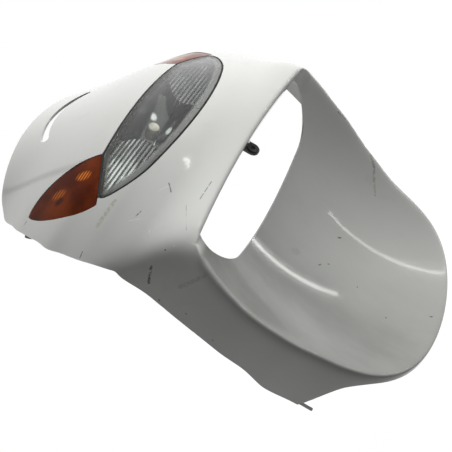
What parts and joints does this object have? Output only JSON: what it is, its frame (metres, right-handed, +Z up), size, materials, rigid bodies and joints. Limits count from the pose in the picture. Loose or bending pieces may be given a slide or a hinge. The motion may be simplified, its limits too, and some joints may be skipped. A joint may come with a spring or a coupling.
{
  "type": "scooter front cover with headlight",
  "caption": "glossy white front cover of a scooter with a wide built-in headlight, amber indicators, an opening for the fork and a hollow tongue over the front wheel",
  "frame": {"origin": "centre of the hole in the centre stay, behind the chin's lip", "axes": "+Z up, -Y to the vehicle's front, +X to the right seen from the front"},
  "size_m": [0.4234, 0.1706, 0.5655],
  "materials": {
    "white_plastic": "glossy, scratched in use",
    "clear_lens": "clear, polished",
    "amber_lens": "fluted amber, polished",
    "reflector_chrome": "vapour coated",
    "bulb_glass": "clear",
    "black_plastic": "moulded",
    "black_rubber": "moulded",
    "black_steel": "satin",
    "zinc_steel": "zinc plated"
  },
  "bodies": {
    "root": {"upper_cover": "white_plastic", "lower_cover": "white_plastic", "headlight_lens": "clear_lens", "headlight_seal": "black_rubber", "headlight_housing": "black_plastic", "headlight_reflector": "reflector_chrome", "headlight_bulb": "bulb_glass", "bulb_base": "zinc_steel", "bulb_boot": "black_rubber", "aiming_screw": "black_plastic", "centre_stay": "black_steel", "stay_grommet": "black_rubber", "stay_screw": "zinc_steel", "indicator_lens_right": "amber_lens", "indicator_housing_right": "black_plastic", "indicator_bulb_right": "bulb_glass", "indicator_socket_right": "black_plastic", "indicator_screw_right": "zinc_steel", "headlight_screw_upper_right": "zinc_steel", "headlight_screw_lower_right": "zinc_steel", "temple_clip_right": "zinc_steel", "waist_clip_right": "zinc_steel", "knee_clip_right": "zinc_steel", "indicator_lens_left": "amber_lens", "indicator_housing_left": "black_plastic", "indicator_bulb_left": "bulb_glass", "indicator_socket_left": "black_plastic", "indicator_screw_left": "zinc_steel", "headlight_screw_upper_left": "zinc_steel", "headlight_screw_lower_left": "zinc_steel", "temple_clip_left": "zinc_steel", "waist_clip_left": "zinc_steel", "knee_clip_left": "zinc_steel"}
  },
  "joints": []
}
